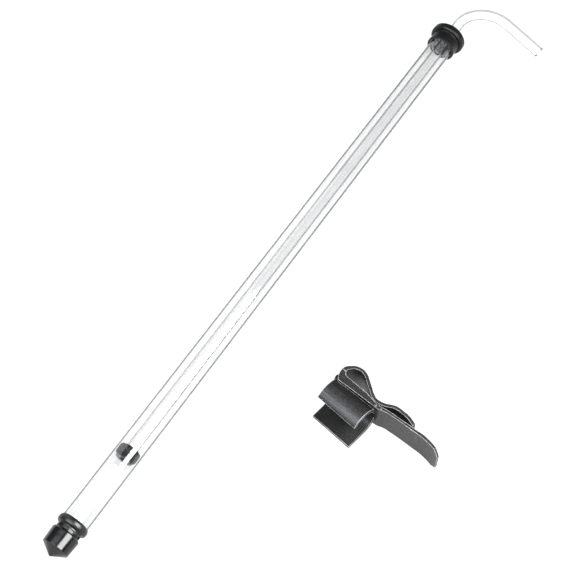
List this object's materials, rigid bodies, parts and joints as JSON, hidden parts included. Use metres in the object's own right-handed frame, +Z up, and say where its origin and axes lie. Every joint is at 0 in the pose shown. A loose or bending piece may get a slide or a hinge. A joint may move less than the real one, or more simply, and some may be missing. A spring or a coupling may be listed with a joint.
{
  "type": "siphon pump with bucket clamp",
  "caption": "Clear piston siphon pump with a bent racking cane, black cone tip and push-on cap, with its loose spring clamp for a bucket wall.",
  "frame": {"origin": "bottom centre of the whole set as it lies on a table: the pump on its flange and the clamp flat beside it", "axes": "+X along the pump from the pointed tip to the cap, +Z up from the table"},
  "size_m": [0.6197, 0.2076, 0.0312],
  "materials": {
    "clear_plastic": "clear rigid extruded plastic, polished",
    "black_plastic": "black injection-moulded plastic, semi-gloss",
    "clamp_plastic": "dark grey moulded plastic, satin with fine grain",
    "seal_rubber": "dark soft rubber, matt",
    "ball_plastic": "white plastic ball, smooth"
  },
  "bodies": {
    "cap": {"top_cap": "black_plastic"},
    "pump_tube": {"outer_tube": "clear_plastic", "valve_housing": "black_plastic", "ball_retainer": "black_plastic"},
    "tip": {"sediment_tip": "black_plastic"},
    "ball": {"check_ball": "ball_plastic"},
    "piston": {"piston_core": "black_plastic", "piston_seal": "seal_rubber"},
    "cane": {"racking_cane": "clear_plastic"},
    "clamp": {"clamp_clip": "clamp_plastic"},
    "clamp_leg": {"clamp_spring_leg": "clamp_plastic"}
  },
  "joints": [
    {"name": "tube_pull", "type": "slide", "parent": "cap", "child": "pump_tube", "axis": [-1, 0, 0], "range_m": [0, 0.013]},
    {"name": "tip_pull", "type": "slide", "parent": "pump_tube", "child": "tip", "axis": [-1, 0, 0], "range_m": [0, 0.012]},
    {"name": "valve_lift", "type": "slide", "parent": "pump_tube", "child": "ball", "axis": [1, 0, 0], "range_m": [0, 0.002]},
    {"name": "piston_stroke", "type": "slide", "parent": "cap", "child": "piston", "axis": [1, 0, 0], "range_m": [-0.017, 0.453]},
    {"name": "cane_swivel", "type": "hinge", "parent": "piston", "child": "cane", "pos_m": [-0.221, 0.08818, 0.0156], "axis": [1, 0, 0], "continuous": true},
    {"name": "clamp_lift", "type": "slide", "parent": "cap", "child": "clamp", "axis": [0, 0, 1], "range_m": [0, 0.08]},
    {"name": "clamp_grip", "type": "hinge", "parent": "clamp", "child": "clamp_leg", "pos_m": [-0.0795, -0.0111, 0], "axis": [0, 0, 1], "range_deg": [0, 10], "stiffness_Nm_per_rad": 1.5}
  ]
}
